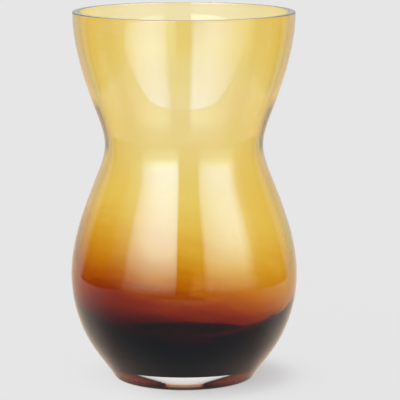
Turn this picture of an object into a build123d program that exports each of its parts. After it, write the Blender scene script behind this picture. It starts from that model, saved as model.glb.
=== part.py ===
from build123d import *
import os

os.makedirs("parts", exist_ok=True)

# A waisted gourd vase of cased blown glass, in millimetres, standing on Z = 0 with its axis on Z.
# Three layers of glass are fused into one vessel, and each is a solid of its own:
# a clear casing with a heavy base, a dark umber cup inside it, and an amber lining inside both.
# Heights are measured from the table, and radii from the axis.

# Outer skin: the sizes that set the gourd
vase_height = 210.0
foot_radius = 38.0
heel_radius = 3.0
flank_angle = 33.7  # lean of the side from upright, in degrees, where it leaves the heel
belly_radius = 64.6
belly_height = 57.0
waist_radius = 45.1
waist_height = 134.0
rim_radius = 63.0

# In-between points of the outer skin, as shares of the way from one size above to the next
flank_radius_share = 0.59
flank_height_share = 0.35
shoulder_radius_share = 0.733
shoulder_height_share = 0.753
collar_radius_share = 0.285
collar_height_share = 0.263

# Thicknesses of the layers
lining_wall = 0.6
case_wall_rim = 3.0  # outer skin to lining, at the rim
case_wall_bowl = 3.2  # the same, where the wall turns into the bowl
umber_floor = 2.5  # umber glass under the middle of the cavity
umber_edge = 0.15  # umber glass at its feathered upper edge

# Heights of what is inside
cavity_floor_height = 17.5
bowl_height = 53.5  # where the inside leaves the wall and rounds into the bowl
feather_height = 100.0  # where the umber glass runs out up the wall

# Form of the bowl: how far its flat floor and its upright side pull the curve
bowl_flat_share = 0.82
bowl_side_share = 0.5

# How fast the umber glass thins on its way up to the feathered edge
feather_power = 1.5

# Polished edges of the rim, and the share of its own wall that a rounding may take
rim_outer_rounding = 0.45
rim_inner_rounding = 0.25
rounding_limit_share = 0.45

# Steps along a wall at which its depth below the outer skin is set
wall_stations = 24


def between(start, end, share):
    """Return the value at a share of the way from one size to another."""
    return start + (end - start) * share


# The outer skin: a small round heel, then one smooth curve through belly and waist to the rim
with BuildLine() as outer_skin:
    heel = CenterArc(
        center=(foot_radius, heel_radius),
        radius=heel_radius,
        start_angle=-90,
        arc_size=90 - flank_angle,
    )
    flank = Spline(
        heel @ 1,
        (
            between(foot_radius, belly_radius, flank_radius_share),
            between(0, belly_height, flank_height_share),
        ),
        (belly_radius, belly_height),
        (
            between(belly_radius, waist_radius, shoulder_radius_share),
            between(belly_height, waist_height, shoulder_height_share),
        ),
        (waist_radius, waist_height),
        (
            between(waist_radius, rim_radius, collar_radius_share),
            between(waist_height, vase_height, collar_height_share),
        ),
        (rim_radius, vase_height),
        tangents=(heel % 1, (0, 1)),
        tangent_scalars=(1, 1),
    )


def share_at(height):
    """Return the share of the flank at which it reaches a height."""
    level = Axis((0, height, 0), (1, 0, 0))
    return flank.param_at_point(flank.find_intersection_points(level)[0])


bowl_share = share_at(bowl_height)
feather_share = share_at(feather_height)


# Depths below the outer skin, each at a share of the flank
def case_depth(share):
    """Return the depth of the lining's outer face."""
    return between(case_wall_bowl, case_wall_rim, (share - bowl_share) / (1 - bowl_share))


def cavity_depth(share):
    """Return the depth of the lining's inner face."""
    return case_depth(share) + lining_wall


def umber_thickness(height):
    """Return the thickness of the umber glass at a height."""
    growth_share = (feather_height - height) / (feather_height - cavity_floor_height)
    return between(umber_edge, umber_floor, max(growth_share, 0) ** feather_power)


def umber_depth(share):
    """Return the depth of the umber glass's outer face."""
    return case_depth(share) - umber_thickness((flank @ share).Y)


def inset_point(share, depth):
    """Return the point at a depth square in from the flank."""
    along = flank % share
    return flank @ share + Vector(-along.Y, along.X) * depth(share)


def draw_wall(start_share, end_share, depth):
    """Draw the stretch of a layer's face that follows the flank at a depth."""
    shares = [between(start_share, end_share, step / wall_stations) for step in range(wall_stations + 1)]
    points = [inset_point(share, depth) for share in shares]
    Spline(*points, tangents=(flank % start_share, flank % end_share), tangent_scalars=(1, 1))


def draw_bowl(floor_height, depth):
    """Draw the bowl of a layer's face, from the axis up to where its wall begins."""
    top = inset_point(bowl_share, depth)
    side_pull = (flank % bowl_share) * (bowl_side_share * (top.Y - floor_height))
    Bezier(
        (0, floor_height),
        (bowl_flat_share * top.X, floor_height),
        top - side_pull,
        top,
    )


lining_floor_height = cavity_floor_height - lining_wall
umber_floor_height = lining_floor_height - umber_floor

# The faces at which the layers meet, each drawn once and shared by the two pieces that touch there
with BuildLine() as cavity_face:
    draw_bowl(cavity_floor_height, cavity_depth)
    draw_wall(bowl_share, 1, cavity_depth)

with BuildLine() as lining_on_umber:
    draw_bowl(lining_floor_height, case_depth)
    draw_wall(bowl_share, feather_share, case_depth)

with BuildLine() as lining_on_casing:
    draw_wall(feather_share, 1, case_depth)

with BuildLine() as umber_on_casing:
    draw_bowl(umber_floor_height, umber_depth)
    draw_wall(bowl_share, feather_share, umber_depth)

rim_outside = flank @ 1
rim_seam = inset_point(1, case_depth)
rim_inside = inset_point(1, cavity_depth)
feather_inside = inset_point(feather_share, case_depth)
feather_outside = inset_point(feather_share, umber_depth)

# Clear casing: the whole outside, the heavy base, and the outer part of the rim
with BuildPart() as clear_casing:
    with BuildSketch(Plane.XZ):
        with BuildLine():
            Line((0, 0), (foot_radius, 0))
            add(outer_skin.line)
            Line(rim_outside, rim_seam)
            add(lining_on_casing.line)
            Line(feather_inside, feather_outside)
            add(umber_on_casing.line)
            Line((0, umber_floor_height), (0, 0))
        make_face()
    revolve(axis=Axis.Z)
    casing_rim_edges = clear_casing.edges().filter_by(GeomType.CIRCLE).group_by(Axis.Z)[-1]
    fillet(
        casing_rim_edges.sort_by(SortBy.RADIUS)[-1],
        radius=min(rim_outer_rounding, case_wall_rim * rounding_limit_share),
    )

clear_casing.part.label = "clear_casing"
export_step(clear_casing.part, "parts/clear_casing.step")

# Umber cup: thick under the cavity, thinning up the belly to a feathered edge
with BuildPart() as umber_cup:
    with BuildSketch(Plane.XZ):
        with BuildLine():
            add(umber_on_casing.line)
            Line(feather_outside, feather_inside)
            add(lining_on_umber.line)
            Line((0, lining_floor_height), (0, umber_floor_height))
        make_face()
    revolve(axis=Axis.Z)

umber_cup.part.label = "umber_cup"
export_step(umber_cup.part, "parts/umber_cup.step")

# Amber lining: the thin inner layer that the water touches, with the inner edge of the rim
with BuildPart() as amber_lining:
    with BuildSketch(Plane.XZ):
        with BuildLine():
            add(lining_on_umber.line)
            add(lining_on_casing.line)
            Line(rim_seam, rim_inside)
            add(cavity_face.line)
            Line((0, cavity_floor_height), (0, lining_floor_height))
        make_face()
    revolve(axis=Axis.Z)
    lining_rim_edges = amber_lining.edges().filter_by(GeomType.CIRCLE).group_by(Axis.Z)[-1]
    fillet(
        lining_rim_edges.sort_by(SortBy.RADIUS)[0],
        radius=min(rim_inner_rounding, lining_wall * rounding_limit_share),
    )

amber_lining.part.label = "amber_lining"
export_step(amber_lining.part, "parts/amber_lining.step")
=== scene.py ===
# %% [markdown]
# A gourd vase of cased glass
#
# The real vase is one blown vessel made of three layers of glass, fused hot.
# Outermost is a thick colourless casing with a heavy base. Inside it lies a cup of dark umber glass that
# thins up the belly to a feathered edge, and innermost is a thin amber lining.
# This lesson dresses the measured solids: it spins the layers as smooth shells, gives each its glass,
# and lights them so that the light has to pass through every layer, as it does in the real thing.

# %% Load the measured model
import math

import bmesh
import bpy
import numpy as np
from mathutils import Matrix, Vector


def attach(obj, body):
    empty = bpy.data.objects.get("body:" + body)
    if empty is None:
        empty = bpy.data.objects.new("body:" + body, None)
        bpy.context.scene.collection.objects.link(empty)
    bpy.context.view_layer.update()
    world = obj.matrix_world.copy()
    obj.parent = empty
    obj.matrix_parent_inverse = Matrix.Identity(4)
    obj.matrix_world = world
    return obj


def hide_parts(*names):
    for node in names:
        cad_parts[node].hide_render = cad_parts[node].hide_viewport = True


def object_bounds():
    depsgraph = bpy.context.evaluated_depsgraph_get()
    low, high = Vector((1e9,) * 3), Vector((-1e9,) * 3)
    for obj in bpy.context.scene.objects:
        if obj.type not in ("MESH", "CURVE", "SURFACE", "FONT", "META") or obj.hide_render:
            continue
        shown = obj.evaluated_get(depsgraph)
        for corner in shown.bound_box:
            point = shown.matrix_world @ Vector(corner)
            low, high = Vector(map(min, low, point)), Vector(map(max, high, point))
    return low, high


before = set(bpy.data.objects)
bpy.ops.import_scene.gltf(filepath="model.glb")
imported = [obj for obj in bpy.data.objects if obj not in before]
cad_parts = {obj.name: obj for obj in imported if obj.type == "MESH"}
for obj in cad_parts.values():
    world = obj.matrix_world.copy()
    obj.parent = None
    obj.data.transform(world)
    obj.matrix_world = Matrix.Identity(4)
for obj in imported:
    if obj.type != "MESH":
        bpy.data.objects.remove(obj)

cad_low, cad_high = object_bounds()
mm = 0.001
print("measured box in mm:", [round(size / mm, 1) for size in cad_high - cad_low])

# %% [markdown]
# The camera
#
# The photograph was taken with a long lens from about 1.4 m, looking slightly down into the mouth.
# A camera is placed once, and everything after it is judged through it.
# A small vertical shift does what the photographer's crop did, so the vase's sides stay true.

# %% Place the camera
camera_distance = 1.386
camera_height = 0.3279
camera_tilt = 0.162  # radians below the level
image_size = 400
focal_pixels = 2461.0
vase_column = 183.9
horizon_row = 201.15
sensor_width = 36.0
view_depth = 100.0

lens = bpy.data.cameras.new("camera")
lens.sensor_width = sensor_width
lens.lens = focal_pixels * sensor_width / image_size
lens.shift_y = (horizon_row - image_size / 2) / image_size
lens.clip_end = view_depth
camera = bpy.data.objects.new("camera", lens)
camera.location = (0, -camera_distance, camera_height)
camera_turn = math.atan((image_size / 2 - vase_column) / focal_pixels)
camera.rotation_euler = (math.pi / 2 - camera_tilt, 0, -camera_turn)
scene = bpy.context.scene
scene.collection.objects.link(camera)
scene.camera = camera
print("lens:", round(lens.lens, 1), "mm")

# %% [markdown]
# The outline of the gourd
#
# A blown vase is a solid of revolution, so one outline says its whole shape.
# The outline could be drawn with a curve object, but the inner layers must follow the outer skin at exact
# depths, so here it is a list of points that can be measured and moved square to itself.
# A smooth curve through a few chosen points bends like a thin batten held at those points.

# %% A smooth curve through chosen points
def smooth_curve(points, start_way, end_way, count):
    """Return points along the smoothest curve through the given ones, leaving and arriving as told."""
    points = np.array(points, float)
    spans = np.linalg.norm(np.diff(points, axis=0), axis=1)
    marks = np.concatenate([[0], np.cumsum(spans)])
    last = len(points) - 1
    weights = np.zeros((last + 1, last + 1))
    pulls = np.zeros((last + 1, 2))
    weights[0, 0] = weights[last, last] = 1
    pulls[0] = start_way
    pulls[last] = end_way
    for i in range(1, last):
        before, after = spans[i - 1], spans[i]
        weights[i, i - 1 : i + 2] = 1 / before, 2 / before + 2 / after, 1 / after
        pulls[i] = 3 * (points[i] - points[i - 1]) / before**2 + 3 * (points[i + 1] - points[i]) / after**2
    ways = np.linalg.solve(weights, pulls)
    curve = []
    for mark in np.linspace(0, marks[-1], count):
        i = min(int(np.searchsorted(marks, mark, side="right")) - 1, last - 1)
        u = (mark - marks[i]) / spans[i]
        bend = spans[i] * (u * (1 - u) ** 2 * ways[i] - u * u * (1 - u) * ways[i + 1])
        curve.append(points[i] * (1 + 2 * u) * (1 - u) ** 2 + points[i + 1] * u * u * (3 - 2 * u) + bend)
    return np.array(curve)


hump = smooth_curve([(0, 0), (1, 1), (2, 0)], (1, 0), (1, 0), 5)
print("a batten over a hump:", hump.round(2).tolist())

# %% An arc, and a curve moved inwards
def arc(centre, radius, start_degrees, end_degrees, count):
    """Return points along an arc, counted in degrees from the level."""
    angles = np.radians(np.linspace(start_degrees, end_degrees, count))
    return np.array(centre) + radius * np.stack([np.cos(angles), np.sin(angles)], axis=1)


def inset(curve, depths):
    """Return the curve moved square to itself, inwards, by one depth or by a depth for each point."""
    ways = np.gradient(curve, axis=0)
    ways /= np.linalg.norm(ways, axis=1)[:, None]
    inward = np.stack([-ways[:, 1], ways[:, 0]], axis=1)
    return curve + inward * np.broadcast_to(depths, len(curve))[:, None]


print("a quarter arc in three points:", arc((0, 0), 1, 0, 90, 3).round(2).tolist())

# %% Draw the outer skin
height = cad_high.z
rim_radius = 63.0 * mm
foot_radius = 38.0 * mm
heel_radius = 3.0 * mm
flank_lean = math.radians(33.7)
heel_steps = 12
skin_steps = 150
skin_marks = [  # radius and height, in mm
    (53.7, 20.0),  # flank
    (64.6, 57.0),  # belly
    (50.3, 115.0),  # shoulder
    (45.1, 134.0),  # waist
    (50.2, 154.0),  # collar
]

heel_end = 90 - math.degrees(flank_lean)
heel = arc((foot_radius, heel_radius), heel_radius, -90, -90 + heel_end, heel_steps)
skin = smooth_curve(
    [heel[-1], *[(radius * mm, level * mm) for radius, level in skin_marks], (rim_radius, height)],
    (math.sin(flank_lean), math.cos(flank_lean)),
    (0, 1),
    skin_steps,
)
print("belly:", round(skin[:, 0].max() * 2 / mm, 1), "mm across")

# %% [markdown]
# The inside of the vase
#
# The wall is nearly the same all the way down the belly, and then the cavity rounds into a bowl that stands
# well above the foot. The glass between is the heavy base.
# The bowl is a Bezier curve with four control points: it leaves the axis level and meets the wall in line.

# %% Draw the cavity
lining_wall = 0.6 * mm
wall_rim = 3.6 * mm
wall_bowl = 3.8 * mm
bowl_height = 53.5 * mm
cavity_floor = 17.5 * mm
bowl_flat = 0.82
bowl_side = 0.5
bowl_steps = 60

wall = inset(skin, np.interp(skin[:, 1], [bowl_height, height], [wall_bowl, wall_rim]))
wall = wall[wall[:, 1] > bowl_height]
wall_way = wall[1] - wall[0]
wall_way /= np.linalg.norm(wall_way)
u = np.linspace(0, 1, bowl_steps)[:-1, None]
bowl = (
    (1 - u) ** 3 * np.array([0, cavity_floor])
    + 3 * u * (1 - u) ** 2 * np.array([bowl_flat * wall[0, 0], cavity_floor])
    + 3 * u**2 * (1 - u) * (wall[0] - wall_way * bowl_side * (wall[0, 1] - cavity_floor))
    + u**3 * wall[0]
)
cavity = np.concatenate([bowl, wall])
print("clear base under the cavity:", round(cavity_floor / mm, 1), "mm")

# %% [markdown]
# Spinning the glass
#
# Glass is the one finish that needs the whole volume right, because light bends where it enters and where
# it leaves. If the casing, the cup and the lining each had their own bending skin, light would bend at
# the seams between them too, and the fused seams would show as mirrors.
# So one closed body carries the bending: the full thickness from the outer skin to the cavity.
# The two coloured layers are thin closed shells inside it that tint light without bending it.

# %% A helper that spins an outline
spin_steps = 192
same_point = 0.002 * mm  # points nearer than this become one


def spun(name, outline):
    """Return a closed, smooth solid of revolution with the given (radius, height) outline."""
    shape = bmesh.new()
    corners = [shape.verts.new((radius, 0, level)) for radius, level in outline]
    sides = [shape.edges.new(pair) for pair in zip(corners, corners[1:])]
    bmesh.ops.spin(
        shape,
        geom=corners + sides,
        cent=(0, 0, 0),
        axis=(0, 0, 1),
        angle=2 * math.pi,
        steps=spin_steps,
        use_merge=True,
        use_duplicate=False,
    )
    bmesh.ops.remove_doubles(shape, verts=shape.verts[:], dist=same_point)
    bmesh.ops.recalc_face_normals(shape, faces=shape.faces[:])
    for face in shape.faces:
        face.smooth = True
    open_edges = sum(1 for edge in shape.edges if not edge.is_manifold)
    mesh = bpy.data.meshes.new(name)
    shape.to_mesh(mesh)
    shape.free()
    piece = bpy.data.objects.new(name, mesh)
    scene.collection.objects.link(piece)
    print(name, "faces:", len(mesh.polygons), "open edges:", open_edges)
    return piece


# %% Spin the body of the vase
rim_outer_rounding = 0.45 * mm
rim_inner_rounding = 0.25 * mm
cavity_rim = rim_radius - wall_rim
outer_centre = (rim_radius - rim_outer_rounding, height - rim_outer_rounding)
inner_centre = (cavity_rim + rim_inner_rounding, height - rim_inner_rounding)
outer_steps = 6
inner_steps = 5

rim_outside = arc(outer_centre, rim_outer_rounding, 0, 90, outer_steps)
rim_inside = arc(inner_centre, rim_inner_rounding, 90, 180, inner_steps)
skin_below_rim = skin[skin[:, 1] < height - 2 * rim_outer_rounding]
cavity_below_rim = cavity[cavity[:, 1] < height - 2 * rim_inner_rounding]
body = spun(
    "vase_body",
    [(0, 0), *heel[:-1], *skin_below_rim, *rim_outside, *rim_inside, *cavity_below_rim[::-1]],
)
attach(body, "root")
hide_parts("clear_casing")

# %% [markdown]
# The amber lining
#
# On the real vase this was the first gather of glass on the pipe, blown thin, so it lines the cavity from
# floor to rim. It is a closed shell a hair inside the body's own surface, so no two faces share a place.
# The shell runs over the rim too, because the edge of the mouth reads amber in the photograph.

# %% Spin the lining
hair = 0.03 * mm
lip_depth = 0.8 * mm
lip_steps = 5

lining_inner = inset(cavity_below_rim, -hair)
lining_outer = inset(cavity_below_rim, -lining_wall)
lining_inner[0, 0] = lining_outer[0, 0] = 0
lining_outer = lining_outer[lining_outer[:, 1] < height - lip_depth]
lip = [
    *arc(inner_centre, rim_inner_rounding - hair, 180, 90, lip_steps),
    *arc(outer_centre, rim_outer_rounding - hair, 90, 0, lip_steps),
    (rim_radius - hair, height - lip_depth),
]
lining = spun("amber_layer", [*lining_inner, *lip, *lining_outer[::-1]])
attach(lining, "root")
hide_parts("amber_lining")

# %% [markdown]
# The umber cup
#
# A second, dark gather was picked up only on the lower half. Blowing stretched it thin at its upper edge,
# so it is thickest under the cavity and feathers out at about half the height. Its colour could be laid on
# the amber shell alone, but a shell of its own keeps the layer where it lies in the measured solids.

# %% Spin the umber cup
umber_floor = 2.4 * mm
umber_edge = 0.15 * mm
feather_height = 100.0 * mm
feather_power = 1.5

cup_inner = inset(cavity_below_rim, -lining_wall - hair)
cup_inner = cup_inner[cup_inner[:, 1] < feather_height]
growth = np.clip((feather_height - cup_inner[:, 1]) / (feather_height - cavity_floor), 0, 1)
cup_outer = inset(cup_inner, -(umber_edge + (umber_floor - umber_edge) * growth**feather_power))
cup_inner[0, 0] = cup_outer[0, 0] = 0
cup = spun("umber_layer", [*cup_inner, *cup_outer[::-1]])
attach(cup, "root")
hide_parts("umber_cup")

# %% [markdown]
# Nodes by short names
#
# A finish is a tree of nodes. It could be wired by hand in the shader editor, but most nodes of this vase
# are sums, and there are many of them. So a few helpers each add a node, wire it and hand back its output,
# and the finishes below read like the sums they are.

# %% Helpers that add and feed a node
row_length = 8  # nodes laid side by side before a new row starts
node_width = 200
node_height = 320


def feed(tree, socket, value):
    """Give an input its value, or link it where the value is the output of another node."""
    if isinstance(value, bpy.types.NodeSocket):
        tree.links.new(value, socket)
    else:
        socket.default_value = (*value, 1) if socket.type == "RGBA" else value


def put(tree, kind, **settings):
    """Add a node, set what is named and return it. Inputs are given as i0, i1 and so on."""
    node = tree.nodes.new(kind)
    row, column = divmod(len(tree.nodes), row_length)
    node.location = (column * node_width, -row * node_height)
    for name, value in settings.items():
        if name[0] == "i" and name[1:].isdigit():
            feed(tree, node.inputs[int(name[1:])], value)
        else:
            setattr(node, name, value)
    return node


def maths(tree, operation, *values):
    """Add a Math node on up to three values or sockets and return its output."""
    inputs = {f"i{spot}": value for spot, value in enumerate(values)}
    return put(tree, "ShaderNodeMath", operation=operation, **inputs).outputs[0]


def coordinates(tree, kind="Object"):
    """Return the X, Y and Z sockets of the place that is being coloured."""
    place = put(tree, "ShaderNodeTexCoord")
    return put(tree, "ShaderNodeSeparateXYZ", i0=place.outputs[kind]).outputs


def off_axis(tree, x, y):
    """Return a socket with the distance from the vase's axis."""
    squares = maths(tree, "ADD", maths(tree, "MULTIPLY", x, x), maths(tree, "MULTIPLY", y, y))
    return maths(tree, "SQRT", squares)


print("nodes are laid out in rows of", row_length)

# %% Helpers that run from one value to another
def share_of(tree, value, start, end):
    """Return a socket that goes evenly from 0 to 1 while the value goes from start to end."""
    return put(tree, "ShaderNodeMapRange", i0=value, i1=start, i2=end).outputs[0]


def soft_step(tree, value, start, end, low=0.0, high=1.0):
    """Return a socket that goes softly from low to high while the value goes from start to end."""
    node = put(tree, "ShaderNodeMapRange", i0=value, i1=start, i2=end, i3=low, i4=high)
    node.interpolation_type = "SMOOTHSTEP"
    return node.outputs[0]


def grey(level):
    """Return a colour with the same level in red, green and blue."""
    return (level, level, level)


def colour_profile(tree, value, low, high, stops):
    """Return a colour socket that follows (place, colour) stops as the value runs from low to high."""
    ramp = put(tree, "ShaderNodeValToRGB", i0=share_of(tree, value, low, high))
    marks = ramp.color_ramp.elements
    while len(marks) < len(stops):
        marks.new(0.5)
    for mark, (spot, colour) in zip(marks, stops):
        mark.position = (spot - low) / (high - low)
        mark.color = (*colour, 1)
    return ramp.outputs[0]


def profile(tree, value, low, high, stops):
    """Return a socket that follows (place, level) stops as the value runs from low to high."""
    return colour_profile(tree, value, low, high, [(spot, grey(level)) for spot, level in stops])


white = grey(1.0)
print("white is", white)

# %% Helpers that mix
def mixed(tree, share, start, end, **settings):
    """Add a Mix node with its own settings and return its output."""
    node = put(tree, "ShaderNodeMix", **settings)
    for title, value in (("Factor", share), ("A", start), ("B", end)):
        feed(tree, node.inputs[title], value)
    return node.outputs["Result"]


def choose(tree, switch, off, on):
    """Return a socket that is one of two values or sockets, by a switch of 0 or 1."""
    return mixed(tree, switch, off, on, data_type="FLOAT")


def blend(tree, share, start, end):
    """Return a colour socket that goes from start to end by a share."""
    return mixed(tree, share, start, end, data_type="RGBA")


def tint(tree, first, second):
    """Return a colour socket that multiplies two colours, as two panes of glass do."""
    return mixed(tree, 1.0, first, second, data_type="RGBA", blend_type="MULTIPLY")


def sum_colours(tree, first, second):
    """Return a colour socket that adds two colours."""
    return put(tree, "ShaderNodeVectorMath", operation="ADD", i0=first, i1=second).outputs[0]


print("colours can be blended, tinted and added")

# %% [markdown]
# Streaks of the blowing
#
# Hand-blown layers are never even: the colour was stretched and turned on the pipe, which leaves soft
# streaks that lean as they run round the vase. All three glasses show them, each in its own way, so the
# streaks are one node group, placed in each material with its own values.

# %% A group of nodes for the streaks
noise_middle = 0.5


def build_streaks():
    """Build the group: a soft field from -0.5 to 0.5 that runs round the vase in leaning streaks."""
    tree = bpy.data.node_groups.new("blown streaks", "ShaderNodeTree")
    for title, value in (("Round", 14.0), ("Up", 40.0), ("Lean", 0.25), ("Detail", 2.0)):
        socket = tree.interface.new_socket(title, in_out="INPUT", socket_type="NodeSocketFloat")
        socket.default_value = value
    tree.interface.new_socket("Streaks", in_out="OUTPUT", socket_type="NodeSocketFloat")
    given = put(tree, "NodeGroupInput").outputs
    x, y, z = coordinates(tree)
    leaning = maths(tree, "MULTIPLY_ADD", x, given["Lean"], z)
    across = maths(tree, "MULTIPLY", x, given["Round"])
    along = maths(tree, "MULTIPLY", y, given["Round"])
    rise = maths(tree, "MULTIPLY", leaning, given["Up"])
    spot = put(tree, "ShaderNodeCombineXYZ", i0=across, i1=along, i2=rise)
    noise = put(tree, "ShaderNodeTexNoise", i0=spot.outputs[0])
    noise.inputs["Scale"].default_value = 1.0
    tree.links.new(given["Detail"], noise.inputs["Detail"])
    put(tree, "NodeGroupOutput", i0=maths(tree, "SUBTRACT", noise.outputs[0], noise_middle))
    return tree


streaks = build_streaks()


def add_streaks(tree, **values):
    """Place the streaks in a material's tree with its own values and return the field's socket."""
    node = put(tree, "ShaderNodeGroup", node_tree=streaks)
    for title, value in values.items():
        node.inputs[title].default_value = value
    return node.outputs["Streaks"]


print("streaks group:", [item.name for item in streaks.interface.items_tree])

# %% [markdown]
# The three glasses
#
# All three use the Principled shader as plain, fully transmitting glass. The body bends light by 1.487, a
# little less than window glass does, which puts the pale crescent in the base where the photograph has it.
# The two inner layers bend it by 1.0, which is not at all, because they lie inside glass: they only
# multiply the light by their Base Color each time it passes a wall. Colour could be left to absorption in
# the volume, which follows the thickness by itself, but tinting shells keep each layer's colour in hand.

# %% A helper that starts a glass
body_bending = 1.487
layer_bending = 1.0
vase_top = 210.0  # mm, where the profiles by height end


def new_glass(piece, name, bending):
    """Give a piece a new glass, and return the glass's tree and its shader."""
    material = bpy.data.materials.new(name)
    material.use_nodes = True
    piece.data.materials.append(material)
    shader = material.node_tree.nodes["Principled BSDF"]
    shader.inputs["Roughness"].default_value = 0.0
    shader.inputs["IOR"].default_value = bending
    shader.inputs["Transmission Weight"].default_value = 1.0
    print(name, "on", piece.name, "bends light by", bending)
    return material.node_tree, shader


def turned_away(tree):
    """Return a socket that is 0 where a wall is seen square on and 1 where it is seen edge on."""
    return put(tree, "ShaderNodeLayerWeight").outputs["Facing"]


# %% [markdown]
# Clear glass
#
# Clear glass shows colour only at its edges, where light runs a long way inside the wall. Round the heel
# the light comes from the dark cup above; an orange line of painted light and a dark line of painted
# shade round the foot stand in for it. At the waist and round the belly the outer edge is painted darker
# than the wall behind it, a painted shade. Both are painted into the glass's colour by height.
# Seen square on, the skin mirrors blue best, which cools the soft boxes over the warm glass. At a slant it
# mirrors all colours alike.

# %% Painted light and shade of the clear glass by height, in mm
heel_top = 10.0
# painted light and shade: an orange line of light and a dark line of shade round the foot
heel_light_and_shade_stops = [
    (0.0, (0.006, 0.003, 0.0025)),
    (1.8, (0.006, 0.003, 0.0025)),
    (2.3, (0.05, 0.02, 0.014)),
    (2.85, (0.42, 0.11, 0.03)),
    (3.4, (0.4, 0.08, 0.022)),
    (3.95, (0.75, 0.3, 0.1)),
    (4.5, (1.0, 0.8, 0.55)),
    (5.0, white),
]
# painted shade: the outer edge is darkened at the belly and at the waist
belly_edge_painted_shade = (0.55, 0.85, 1.0)
waist_edge_painted_shade = (0.06, 0.08, 0.14)
edge_painted_shade_stops = [
    (40.0, white),
    (60.0, belly_edge_painted_shade),
    (88.0, belly_edge_painted_shade),
    (100.0, white),
    (128.0, white),
    (135.0, waist_edge_painted_shade),
    (157.0, waist_edge_painted_shade),
    (164.0, white),
]
middle_low, middle_high = 40.0, 165.0  # the stretch where outer skin and cavity are told apart
middle_marks = 11
wall_middle = []
for level in np.linspace(middle_low, middle_high, middle_marks):
    skin_radius = np.interp(level * mm, skin[:, 1], skin[:, 0])
    wall_middle.append((float(level), float(skin_radius - wall_rim / 2)))
print("middle of the wall, in mm from the axis:", [round(radius / mm, 1) for _, radius in wall_middle])

# %% Clear glass, with the slight waves of hand work
mirror_tint = (0.384, 0.636, 1.0)
wave_swing = 0.3
wave_dark = (0.945, 0.973, 0.99)
wave_light = (0.96, 0.978, 1.0)
edge_start, edge_full = 0.62, 0.76

tree, shader = new_glass(body, "clear glass", body_bending)
shader.inputs["Specular Tint"].default_value = (*mirror_tint, 1)
x, y, z = coordinates(tree)
level = maths(tree, "DIVIDE", z, mm)
middle = profile(tree, level, middle_low, middle_high, wall_middle)
is_outside = maths(tree, "GREATER_THAN", off_axis(tree, x, y), middle)
# painted shade on the outer edge where the wall is seen edge on, set by height
edge = maths(tree, "MULTIPLY", soft_step(tree, turned_away(tree), edge_start, edge_full), is_outside)
edge_painted_shade = blend(tree, edge, white, colour_profile(tree, level, 0.0, vase_top, edge_painted_shade_stops))
# painted light and shade round the foot, laid into the clear glass's colour by height
heel_painted_light_and_shade = colour_profile(tree, level, 0.0, heel_top, heel_light_and_shade_stops)
field = add_streaks(tree, Round=9.0, Up=22.0, Lean=0.2, Detail=1.0)
waves = blend(tree, share_of(tree, field, -wave_swing, wave_swing), wave_dark, wave_light)
tree.links.new(tint(tree, tint(tree, waves, heel_painted_light_and_shade), edge_painted_shade), shader.inputs["Base Color"])

# %% [markdown]
# Amber glass
#
# The lining reads palest from the waist up to the collar, and stronger in the belly and towards the rim.
# A picture of the wall could say that, but a colour by height is enough, with the streaks to nudge it up
# and down. Where the wall is seen at a slant, light runs further through it, so the colour deepens there.

# %% Amber glass, palest round the waist
amber_stops = [
    (0.0, (1.0, 0.83, 0.35)),
    (80.0, (1.0, 0.845, 0.39)),
    (105.0, (1.0, 0.86, 0.43)),
    (132.0, (1.0, 0.885, 0.55)),
    (150.0, (1.0, 0.89, 0.57)),
    (165.0, (1.0, 0.90, 0.60)),
    (180.0, (1.0, 0.885, 0.52)),
    (195.0, (1.0, 0.865, 0.46)),
    (210.0, (1.0, 0.87, 0.50)),
]
amber_swing = 0.03
slant_tint = (1.0, 0.92, 0.66)
slant_full = 0.29

tree, shader = new_glass(lining, "amber glass", layer_bending)
x, y, z = coordinates(tree)
field = add_streaks(tree, Round=12.0, Up=30.0, Lean=0.25, Detail=2.0)
level = maths(tree, "DIVIDE", maths(tree, "MULTIPLY_ADD", field, amber_swing, z), mm)
by_height = colour_profile(tree, level, 0.0, vase_top, amber_stops)
slant = blend(tree, share_of(tree, turned_away(tree), 0.0, slant_full), white, slant_tint)
tree.links.new(tint(tree, by_height, slant), shader.inputs["Base Color"])

# %% [markdown]
# Umber glass
#
# Dark glass takes light away evenly with every step through it, so each colour falls as a power of the
# depth. Blue falls fastest, then green, then red, which is why thin umber glass looks amber, thicker looks
# rust red and the thickest black. The depth falls with height and grows where the wall is seen along its
# length. Streaks, fine bands and a lean make the edge uneven, as on the real cup, which stands higher on
# one side.

# %% Umber glass, from its depth
wall_depth = 3.7
wall_fall = 20.0 * mm
feather_depth = 0.03
floor_depth = 3.0
floor_low, floor_high = 15.0 * mm, 18.8 * mm
cup_lean = 0.2
cup_lean_back = 0.04
streak_swing = 0.014
band_swing = 0.012
least_squareness = 0.25  # keeps the depth within reason where the wall is seen edge on
colour_powers = (1.0, 2.7, 8.0)

tree, shader = new_glass(cup, "umber glass", layer_bending)
x, y, z = coordinates(tree)
field = add_streaks(tree, Round=16.0, Up=34.0, Lean=0.35, Detail=2.0)
bands = add_streaks(tree, Round=9.0, Up=150.0, Lean=0.25, Detail=3.0)
level = maths(tree, "MULTIPLY_ADD", x, cup_lean, z)
level = maths(tree, "MULTIPLY_ADD", y, cup_lean_back, level)
level = maths(tree, "MULTIPLY_ADD", field, streak_swing, level)
level = maths(tree, "MULTIPLY_ADD", bands, band_swing, level)
wall_power = maths(tree, "EXPONENT", maths(tree, "DIVIDE", level, -wall_fall))
in_wall = maths(tree, "SUBTRACT", maths(tree, "MULTIPLY", wall_power, wall_depth), feather_depth)
in_floor = soft_step(tree, z, floor_low, floor_high, floor_depth, 0.0)
straight_through = maths(tree, "ADD", maths(tree, "MAXIMUM", in_wall, 0.0), in_floor)
squareness = maths(tree, "SUBTRACT", 1.0, turned_away(tree))
depth = maths(tree, "DIVIDE", straight_through, maths(tree, "MAXIMUM", squareness, least_squareness))
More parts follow.
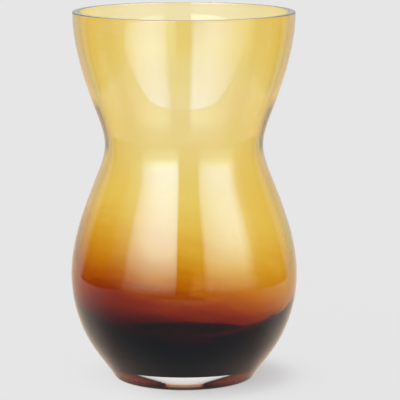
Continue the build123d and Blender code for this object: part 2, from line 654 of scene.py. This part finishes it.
colour = put(tree, "ShaderNodeCombineColor")
for channel, rate in enumerate(colour_powers):
    left = maths(tree, "EXPONENT", maths(tree, "MULTIPLY", depth, -rate))
    tree.links.new(left, colour.inputs[channel])
tree.links.new(colour.outputs[0], shader.inputs["Base Color"])

# %% [markdown]
# The studio
#
# Glass has no look of its own: it shows the room. The photograph shows a pale sweep, two tall soft boxes in
# front, left and right, and dimmer sides. Real lamps could stand there, but they would show in other views,
# so the room is painted on the world by direction: how far round, in degrees from the front, and how high.
# A reflection sees the boxes. What is seen straight, or through the glass, is the plain pale sweep. Light
# that was turned back inside the wall comes from the sides, and makes the darker lines along the edges.

# %% What stands where in the room
pale = 0.79  # the sweep's brightness, as a colour of about 230 out of 255
seen_through = 0.93  # the same sweep, seen through the vase
room_front = 0.04
room_side = 0.06
side_start, side_full = 60.0, 90.0  # degrees off the front
sweep_start, sweep_full = 116.0, 126.0
any_turn, second_turn = 0.5, 1.5  # limits between no turn, one and two


def way_round(tree, x, forward):
    """Return how far round something lies, in degrees from the front, and how far off the front."""
    around = maths(tree, "DEGREES", maths(tree, "ARCTAN2", x, forward))
    return around, maths(tree, "ABSOLUTE", around)


def room_level(tree, off_front):
    """Return the level of the room without its boxes: dim in front and at the sides, pale behind."""
    sides = soft_step(tree, off_front, side_start, side_full, room_front, room_side)
    behind = soft_step(tree, off_front, sweep_start, sweep_full, 0.0, pale - room_side)
    return maths(tree, "ADD", sides, behind)


print("sweep at", pale, "and front of the room at", room_front)

# %% The two soft boxes
box_outside = (9.9, 9.9, 9.9)  # a soft box, mirrored by the outer skin
box_low = (16.4, 15.7, 8.6)  # its lower, warmer end, with the light from the table
box_inside = (5.2, 5.66, 14.0)  # the same box, mirrored inside and seen through amber glass
box_reach = 90.0  # degrees off the front, each way
outside_stops = [
    (-88, 0.0),
    (-64, 0.14),
    (-60, 0.5),
    (-38, 1.0),
    (-14, 1.0),
    (-8.5, 0.8),
    (-7, 0.0),
    (19, 0.0),
    (24, 0.4),
    (37, 0.62),
    (50, 0.75),
    (64, 0.85),
    (72, 0.5),
    (78, 0.1),
    (90, 0.0),
]
inner_stops = [
    (-90, 0.0),
    (-78, 0.12),
    (-60, 0.5),
    (-38, 1.0),
    (-14, 1.0),
    (-7, 0.0),
    (19, 0.0),
    (24, 0.6),
    (37, 1.0),
    (56, 0.9),
    (78, 0.25),
    (90, 0.0),
]


def mirrored_boxes(tree, inside, around, outer_share, inner_share, rise):
    """Return the colour of the soft boxes that a mirrored ray meets, at a share of their brightness."""
    outer = maths(tree, "MULTIPLY", profile(tree, around, -box_reach, box_reach, outside_stops), outer_share)
    inner = maths(tree, "MULTIPLY", profile(tree, around, -box_reach, box_reach, inner_stops), inner_share)
    tone = blend(tree, inside, blend(tree, rise, box_low, box_outside), box_inside)
    return tint(tree, tone, blend(tree, inside, outer, inner))


print("boxes reach from", -box_reach, "to", box_reach, "degrees")

# %% What a ray sees through the glass
lost_again = 0.2


def through_glass(tree, path, straight, sides, boxes, box_share, kept_once):
    """Return the plain sweep, or the sides and boxes where the ray was turned back inside the wall."""
    turned_back = maths(tree, "GREATER_THAN", path["Glossy Depth"], any_turn)
    turned_once = maths(tree, "LESS_THAN", path["Glossy Depth"], second_turn)
    kept = choose(tree, turned_once, lost_again, kept_once)
    turned_light = tint(tree, sum_colours(tree, sides, tint(tree, boxes, box_share)), kept)
    return blend(tree, turned_back, straight, turned_light)


print("light turned back twice keeps a share of", lost_again)

# %% Start the room
world = bpy.data.worlds.new("studio")
scene.world = world
world.use_nodes = True
world.cycles.sampling_method = "NONE"
tree = world.node_tree
path = put(tree, "ShaderNodeLightPath").outputs
x, y, z = coordinates(tree, "Generated")
around, off_front = way_round(tree, x, maths(tree, "MULTIPLY", y, -1.0))
up = maths(tree, "DEGREES", maths(tree, "ARCSINE", z))
inside = maths(tree, "GREATER_THAN", path["Transmission Depth"], any_turn)
print("room started as", world.name)

# %% What a reflection sees of the room
box_top_start, box_top_end = 46.0, 62.0  # degrees above the level, here and below
outer_low, inner_low, box_full = -12.0, -30.0, 24.0
inner_dim_start, inner_dim_end, inner_dim = 20.0, 31.0, 0.85
warm_end, cool_start = 3.0, 24.0
overhead = 1.6
overhead_start, overhead_full = 8.0, 34.0

box_top = soft_step(tree, up, box_top_start, box_top_end, 1.0, 0.0)
outer_share = maths(tree, "MULTIPLY", soft_step(tree, up, outer_low, box_full), box_top)
inner_share = maths(tree, "MULTIPLY", soft_step(tree, up, inner_low, box_full), box_top)
dimmed = soft_step(tree, up, inner_dim_start, inner_dim_end, 1.0, inner_dim)
inner_share = maths(tree, "MULTIPLY", inner_share, dimmed)
rise = share_of(tree, up, warm_end, cool_start)
boxes = mirrored_boxes(tree, inside, around, outer_share, inner_share, rise)
ceiling = maths(tree, "MULTIPLY", soft_step(tree, up, overhead_start, overhead_full, 0.0, overhead), inside)
mirrored = sum_colours(tree, maths(tree, "ADD", room_level(tree, off_front), ceiling), boxes)
print("boxes end", box_top_end, "degrees up")

# %% What shows through the glass of the room
side_stops = [(0, 0.0), (96, 0.05), (120, 0.78), (152, 0.75), (156.5, 0.55), (160.5, 0.16), (180, 0.16)]
through_low, through_high = 0.4, 0.8
through_start, through_full = 6.0, 22.0

sides = profile(tree, off_front, 0, 180, side_stops)
box_share = soft_step(tree, up, through_start, through_full, through_low, through_high)
straight = choose(tree, path["Is Camera Ray"], seen_through, pale)
through = through_glass(tree, path, straight, sides, boxes, box_share, 1.0)
seen = blend(tree, path["Is Reflection Ray"], through, mirrored)
print("sides are brightest at", max(side_stops, key=lambda stop: stop[1])[0], "degrees off the front")

# %% The room's light on the floor
key_way = -60.0  # the brighter box lights the floor from the left
key_swing = 0.9

key = maths(tree, "COSINE", maths(tree, "RADIANS", maths(tree, "SUBTRACT", around, key_way)))
soft_light = maths(tree, "ADD", maths(tree, "MULTIPLY", key, key_swing), 1.0)
light = tree.nodes["Background"]
tree.links.new(blend(tree, path["Is Diffuse Ray"], seen, soft_light), light.inputs["Color"])
print("room painted with", len(tree.nodes), "nodes")

# %% [markdown]
# The table
#
# A plain pale floor, lit by the room, carries the vase's shadow. Glass mirrors and bends the floor too,
# and those rays see it at a set level: a table under the vase, dimmer in front, and the floor beyond it.

# %% Lay the floor
floor_size = 60.0
foot_gap = 0.1 * mm  # a polished foot never quite touches, so it mirrors the light inside it

shape = bmesh.new()
bmesh.ops.create_grid(shape, x_segments=1, y_segments=1, size=floor_size / 2)
bmesh.ops.translate(shape, verts=shape.verts, vec=(0, 0, -foot_gap))
mesh = bpy.data.meshes.new("floor")
shape.to_mesh(mesh)
shape.free()
floor = bpy.data.objects.new("floor", mesh)
scene.collection.objects.link(floor)
print("floor:", floor_size, "m across")

# %% Start the floor's card
card = bpy.data.materials.new("pale card")
card.use_nodes = True
mesh.materials.append(card)
tree = card.node_tree
matt = tree.nodes["Principled BSDF"]
matt.inputs["Base Color"].default_value = (*grey(pale), 1)
matt.inputs["Roughness"].default_value = 1.0
matt.inputs["Specular IOR Level"].default_value = 0.0

path = put(tree, "ShaderNodeLightPath").outputs
x, y, z = coordinates(tree)
forward = maths(tree, "MULTIPLY", y, -1.0)
around, off_front = way_round(tree, x, forward)
away = off_axis(tree, x, y)
print("card material started on", floor.name)

# %% What the glass mirrors of the floor
table_front = 0.27
table_side = 0.36
table_edge = 0.02
table_dim = 0.42
table_bright = 1.06
table_near = (1.8, 1.3, 1.0)  # the table's tint in front, where the dark glass mirrors it
table_warm = (1.0, 0.80, 0.63)
table_turn, table_behind = 60.0, 110.0
floor_reach = 2.0
outer_floor_stops = [(0, 0.0), (0.3, 0.0), (0.42, 0.08), (0.6, 0.17), (1.5, 0.24), (2, 0.25)]
inner_floor_stops = [(0, 0.0), (0.2, 0.02), (0.37, 0.25), (0.6, 0.4), (1.5, 0.52), (2, 0.55)]

on_table = maths(
    tree,
    "MULTIPLY",
    soft_step(tree, forward, table_front - table_edge, table_front + table_edge, 1.0, 0.0),
    soft_step(tree, maths(tree, "ABSOLUTE", x), table_side - table_edge, table_side + table_edge, 1.0, 0.0),
)
table_level = soft_step(tree, off_front, table_turn, table_behind, table_dim, table_bright)
table_tint = blend(tree, soft_step(tree, off_front, table_turn, table_behind), table_near, table_warm)
outer_share = profile(tree, away, 0.0, floor_reach, outer_floor_stops)
inner_share = profile(tree, away, 0.0, floor_reach, inner_floor_stops)
inside = maths(tree, "GREATER_THAN", path["Transmission Depth"], any_turn)
boxes = mirrored_boxes(tree, inside, around, outer_share, inner_share, 0.0)
beyond = sum_colours(tree, room_level(tree, off_front), boxes)
mirrored = blend(tree, on_table, beyond, tint(tree, table_tint, table_level))
print("table ends", table_front, "m in front of the vase")

# %% What shows through the glass of the floor
near_end, far_start = 0.40, 0.55
near_stops = [(0, 0.0), (90, 0.1), (115, 0.8), (180, 0.75)]
far_stops = [(0, 0.0), (96, 0.05), (115, 0.7), (140, 0.75), (150, 0.8), (180, 0.8)]
# painted shadow: for rays turned back inside the glass, the floor under the foot is painted dark, a contact
# shadow
foot_painted_shadow = 0.1
foot_inside, foot_outside = 36.0 * mm, 46.0 * mm

sides_near = profile(tree, off_front, 0, 180, near_stops)
sides_far = profile(tree, off_front, 0, 180, far_stops)
sides = blend(tree, soft_step(tree, away, near_end, far_start), sides_near, sides_far)
# the painted contact shadow under the foot
kept_once = soft_step(tree, away, foot_inside, foot_outside, foot_painted_shadow, 1.0)
through = through_glass(tree, path, grey(seen_through), sides, boxes, grey(through_low), kept_once)
glass_sees = blend(tree, path["Is Reflection Ray"], through, mirrored)
print("under the foot the glass keeps a share of", foot_painted_shadow)

# %% The floor's own light and the vase's shadow
shadow_reach = 200.0
shadow_stops = [(0, 0.45), (45, 0.42), (55, 0.33), (62, 0.2), (70, 0.08), (85, 0.04), (shadow_reach, 0.04)]
shadow_left = 0.35
lee_start = -40.0 * mm

glow = put(tree, "ShaderNodeEmission")
tree.links.new(blend(tree, path["Is Camera Ray"], glass_sees, grey(pale)), glow.inputs["Color"])
by_glass = maths(tree, "MAXIMUM", path["Is Reflection Ray"], path["Is Transmission Ray"])
by_glass = maths(tree, "SUBTRACT", by_glass, path["Is Diffuse Ray"])
# painted light: for the camera the card glows an even pale. Near the vase, and more on its right, a share of
# the lit card shows through, so the real shadow is kept there and painted out farther off and on the left.
near = profile(tree, away, 0.0, shadow_reach * mm, [(spot * mm, level) for spot, level in shadow_stops])
shadow = maths(tree, "MULTIPLY", near, soft_step(tree, x, lee_start, 0.0, shadow_left, 1.0))
even = maths(tree, "MULTIPLY", path["Is Camera Ray"], maths(tree, "SUBTRACT", 1.0, shadow))
either = put(tree, "ShaderNodeMixShader", i1=matt.outputs[0], i2=glow.outputs[0])
tree.links.new(maths(tree, "MAXIMUM", by_glass, even), either.inputs[0])
tree.links.new(either.outputs[0], tree.nodes["Material Output"].inputs["Surface"])
print("card finished with", len(tree.nodes), "nodes")

# %% [markdown]
# Finish
#
# The view stays Standard, so a colour renders about as it is written. Light crosses up to a dozen skins
# of glass on its way, so paths are allowed enough turns to get out again.

# %% Set the view and write the sizes
scene.view_settings.view_transform = "Standard"
scene.cycles.max_bounces = 32
scene.cycles.transmission_bounces = 32
scene.cycles.glossy_bounces = 16
scene.cycles.transparent_max_bounces = 64
